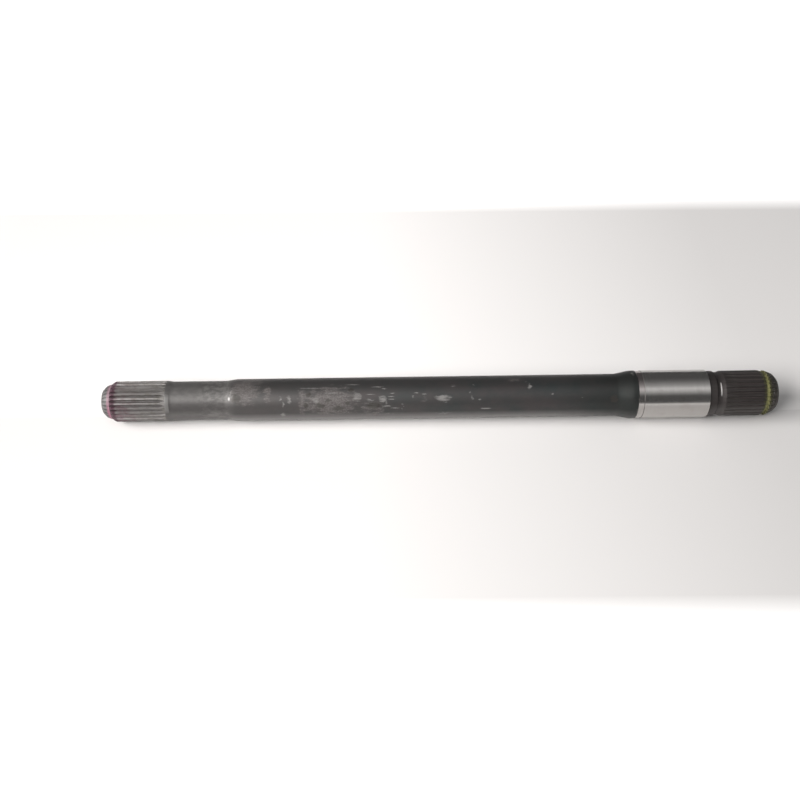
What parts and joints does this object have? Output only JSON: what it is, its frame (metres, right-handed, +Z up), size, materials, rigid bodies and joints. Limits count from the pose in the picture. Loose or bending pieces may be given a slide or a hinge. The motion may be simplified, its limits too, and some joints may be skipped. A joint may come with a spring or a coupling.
{
  "type": "axle shaft",
  "caption": "Solid steel axle shaft with an involute spline at each end, a ring groove at the large end, a forged middle and a ground bearing journal.",
  "frame": {"origin": "middle of the ground bearing journal, on the shaft's axis", "axes": "+X along the shaft's axis towards the large splined end beside the journal, +Z up, +Y completes the right-handed frame"},
  "size_m": [0.5593, 0.04, 0.0398],
  "materials": {
    "shaft_steel": "dark scale as forged on the middle, grey hardened splines and neck, bright ground journal, marking paint beside both noses"
  },
  "bodies": {
    "root": {"axle_shaft": "shaft_steel"}
  },
  "joints": []
}
